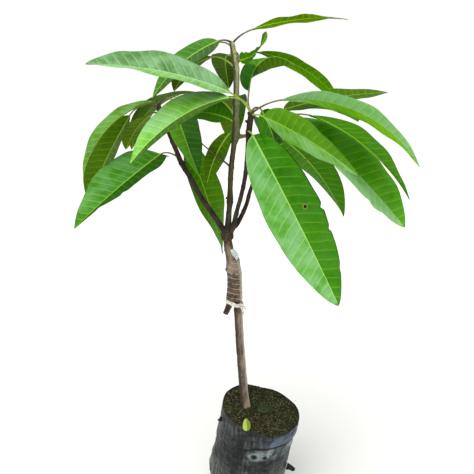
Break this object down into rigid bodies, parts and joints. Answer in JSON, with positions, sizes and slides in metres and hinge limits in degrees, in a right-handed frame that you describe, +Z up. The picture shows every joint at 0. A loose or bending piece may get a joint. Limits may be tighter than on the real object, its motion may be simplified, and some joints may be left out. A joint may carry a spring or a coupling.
{
  "type": "potted mango tree",
  "caption": "Young grafted mango tree with a forked crown of long drooping leaves, standing in a soft black grow bag of mossy soil.",
  "frame": {"origin": "centre of the flat underside of the grow bag", "axes": "+Z up along the plant, +X to the side the bag's top leans to, -Y towards the front of the crown"},
  "size_m": [0.478, 0.3899, 0.8198],
  "materials": {
    "bag_film": "satin black film",
    "moss_soil": "rough",
    "trunk_bark": "matte",
    "scion_bark": "matte",
    "bough_bark": "matte",
    "tape": "satin",
    "tie": "satin",
    "leaves_left": "glossy leaf",
    "leaves_leader": "glossy leaf",
    "leaves_front": "glossy leaf",
    "leaves_right": "glossy leaf"
  },
  "bodies": {
    "root": {"grow_bag": "bag_film", "soil": "moss_soil", "trunk": "trunk_bark", "scion": "scion_bark", "bough_left": "bough_bark", "bough_leader": "bough_bark", "bough_front": "bough_bark", "bough_right": "bough_bark", "graft_tape": "tape", "graft_tie": "tie", "leaves_left": "leaves_left", "leaves_leader": "leaves_leader", "leaves_front": "leaves_front", "leaves_right": "leaves_right"}
  },
  "joints": []
}
